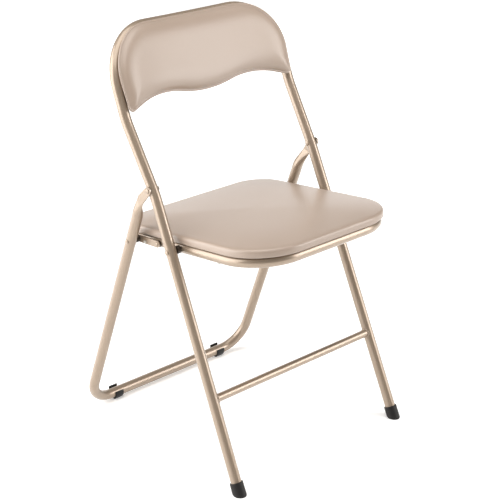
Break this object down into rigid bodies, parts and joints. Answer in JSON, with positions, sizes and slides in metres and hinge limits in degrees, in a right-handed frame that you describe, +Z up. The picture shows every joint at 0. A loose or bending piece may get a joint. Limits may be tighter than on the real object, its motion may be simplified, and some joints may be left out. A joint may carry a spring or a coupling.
{
  "type": "folding chair",
  "caption": "Folding chair with a bent steel tube frame, padded vinyl seat and curved padded backrest; the rear legs, seat and short links fold flat together.",
  "frame": {"origin": "on the floor under the centre of the bounding box", "axes": "+Z up, the sitter faces -Y, +X towards the sitter's left; the chair is symmetric about the plane X = 0"},
  "size_m": [0.4382, 0.4809, 0.7858],
  "materials": {
    "frame_enamel": "satin champagne powder coat on steel tube",
    "rivet_enamel": "satin champagne coated rivet head",
    "washer_steel": "zinc plated",
    "spacer_plastic": "dark moulded nylon",
    "foot_rubber": "matte moulded rubber",
    "glide_plastic": "matte moulded plastic",
    "seat_vinyl": "satin fine-grain champagne vinyl",
    "back_vinyl": "satin fine-grain champagne vinyl",
    "seat_board": "hardboard",
    "back_panel": "satin champagne powder coat on sheet steel"
  },
  "bodies": {
    "front": {"front_frame": "frame_enamel", "front_crossbar": "frame_enamel", "crossbar_welds": "frame_enamel", "front_foot_left": "foot_rubber", "front_foot_right": "foot_rubber", "frame_pivot_rivets": "rivet_enamel", "frame_pivot_washers": "washer_steel", "seat_pivot_rivets": "rivet_enamel", "seat_pivot_spacers": "spacer_plastic", "back_panel": "back_panel", "back_cushion": "back_vinyl", "back_brackets": "frame_enamel", "back_screws": "washer_steel"},
    "rear": {"rear_frame": "frame_enamel", "rear_glide_left": "glide_plastic", "rear_glide_right": "glide_plastic", "link_rear_rivets": "rivet_enamel", "link_spacers": "spacer_plastic"},
    "seat": {"seat_rim": "frame_enamel", "seat_board": "seat_board", "seat_cushion": "seat_vinyl", "seat_screws": "washer_steel", "link_seat_washers": "spacer_plastic"},
    "link_left": {"link_strap_left": "frame_enamel", "link_stop_left": "rivet_enamel", "link_rivet_left": "rivet_enamel"},
    "link_right": {"link_strap_right": "frame_enamel", "link_stop_right": "rivet_enamel", "link_rivet_right": "rivet_enamel"}
  },
  "joints": [
    {"name": "seat_fold", "type": "hinge", "parent": "front", "child": "seat", "pos_m": [0, -0.02883, 0.41151], "axis": [-1, 0, 0], "range_deg": [0, 109]},
    {"name": "rear_fold", "type": "hinge", "parent": "front", "child": "rear", "pos_m": [0, 0.01852, 0.51493], "axis": [-1, 0, 0], "range_deg": [0, 40.66]},
    {"name": "link_fold_left", "type": "hinge", "parent": "rear", "child": "link_left", "pos_m": [0, 0.07898, 0.403], "axis": [1, 0, 0], "range_deg": [0, 77.7]},
    {"name": "link_fold_right", "type": "hinge", "parent": "rear", "child": "link_right", "pos_m": [0, 0.07898, 0.403], "axis": [1, 0, 0], "range_deg": [0, 77.7]}
  ],
  "couplings": [
    {"joint": "rear_fold", "follows": "seat_fold", "ratio": 0.37289},
    {"joint": "link_fold_left", "follows": "seat_fold", "ratio": 0.71267},
    {"joint": "link_fold_right", "follows": "seat_fold", "ratio": 0.71267}
  ]
}
